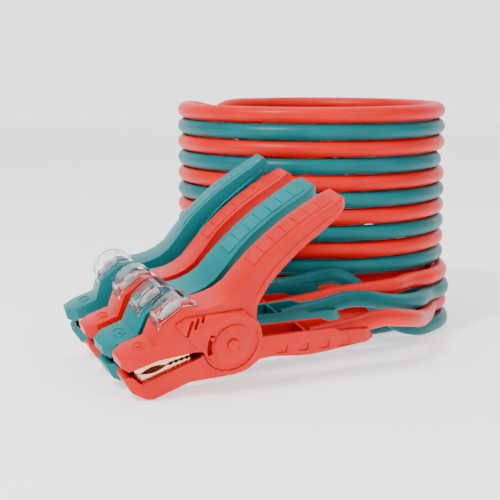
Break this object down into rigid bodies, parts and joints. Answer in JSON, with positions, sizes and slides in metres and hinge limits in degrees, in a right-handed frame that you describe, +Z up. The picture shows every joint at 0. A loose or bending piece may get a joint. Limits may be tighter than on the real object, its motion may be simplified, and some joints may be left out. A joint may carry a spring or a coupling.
{
  "type": "car jumper cable",
  "caption": "Red and teal jumper cables wound into one upright coil, with spring clamps that have copper jaws, clear lamp lenses and long grips.",
  "frame": {"origin": "on the floor, under the middle of the clamps' own box", "axes": "+X to the right as seen from the front, +Y away from the viewer towards the coil, +Z up along the coil axis"},
  "size_m": [0.293, 0.4244, 0.1859],
  "materials": {
    "red_plastic": "semi-gloss moulded plastic",
    "teal_plastic": "semi-gloss moulded plastic",
    "red_cable": "smooth satin cable sheath",
    "teal_cable": "smooth satin cable sheath",
    "copper_jaw": "bright copper-plated stamping",
    "clear_lens": "clear polished plastic",
    "lamp_white": "white moulded plastic",
    "spring_steel": "plain spring wire"
  },
  "bodies": {
    "cable_set": {"red_1_lower_lever": "red_plastic", "red_1_lower_jaw": "copper_jaw", "red_1_pivot_rivet": "red_plastic", "red_1_stop_pin": "red_plastic", "red_1_spring": "spring_steel", "teal_1_lower_lever": "teal_plastic", "teal_1_lower_jaw": "copper_jaw", "teal_1_pivot_rivet": "teal_plastic", "teal_1_stop_pin": "teal_plastic", "teal_1_spring": "spring_steel", "red_2_lower_lever": "red_plastic", "red_2_lower_jaw": "copper_jaw", "red_2_pivot_rivet": "red_plastic", "red_2_stop_pin": "red_plastic", "red_2_spring": "spring_steel", "teal_2_lower_lever": "teal_plastic", "teal_2_lower_jaw": "copper_jaw", "teal_2_pivot_rivet": "teal_plastic", "teal_2_stop_pin": "teal_plastic", "teal_2_spring": "spring_steel", "cable_coil": "red_cable", "red_1_lead": "red_cable", "teal_1_lead": "teal_cable", "red_2_lead": "red_cable", "teal_2_lead": "teal_cable", "teal_bight": "teal_cable", "red_bight": "red_cable"},
    "red_1_upper": {"red_1_upper_lever": "red_plastic", "red_1_near_cover": "red_plastic", "red_1_far_cover": "red_plastic", "red_1_upper_jaw": "copper_jaw", "red_1_lens": "clear_lens", "red_1_lamp_holder": "lamp_white"},
    "teal_1_upper": {"teal_1_upper_lever": "teal_plastic", "teal_1_near_cover": "teal_plastic", "teal_1_far_cover": "teal_plastic", "teal_1_upper_jaw": "copper_jaw", "teal_1_lens": "clear_lens", "teal_1_lamp_holder": "lamp_white"},
    "red_2_upper": {"red_2_upper_lever": "red_plastic", "red_2_near_cover": "red_plastic", "red_2_far_cover": "red_plastic", "red_2_upper_jaw": "copper_jaw", "red_2_lens": "clear_lens", "red_2_lamp_holder": "lamp_white"},
    "teal_2_upper": {"teal_2_upper_lever": "teal_plastic", "teal_2_near_cover": "teal_plastic", "teal_2_far_cover": "teal_plastic", "teal_2_upper_jaw": "copper_jaw", "teal_2_lens": "clear_lens", "teal_2_lamp_holder": "lamp_white"}
  },
  "joints": [
    {"name": "red_1_hinge", "type": "hinge", "parent": "cable_set", "child": "red_1_upper", "pos_m": [0.01393, -0.0501, 0.03756], "axis": [-0.5405, 0.8082, 0.234], "range_deg": [0, 35], "stiffness_Nm_per_rad": 0.6, "springref_deg": -68.75},
    {"name": "teal_1_hinge", "type": "hinge", "parent": "cable_set", "child": "teal_1_upper", "pos_m": [-0.00627, -0.0185, 0.04172], "axis": [-0.5846, 0.7631, 0.2754], "range_deg": [0, 35], "stiffness_Nm_per_rad": 0.6, "springref_deg": -68.75},
    {"name": "red_2_hinge", "type": "hinge", "parent": "cable_set", "child": "red_2_upper", "pos_m": [-0.02127, 0.0177, 0.04362], "axis": [-0.4717, 0.8729, 0.1244], "range_deg": [0, 35], "stiffness_Nm_per_rad": 0.6, "springref_deg": -68.75},
    {"name": "teal_2_hinge", "type": "hinge", "parent": "cable_set", "child": "teal_2_upper", "pos_m": [-0.03977, 0.053, 0.04929], "axis": [-0.31, 0.9381, 0.1542], "range_deg": [0, 35], "stiffness_Nm_per_rad": 0.6, "springref_deg": -68.75}
  ]
}
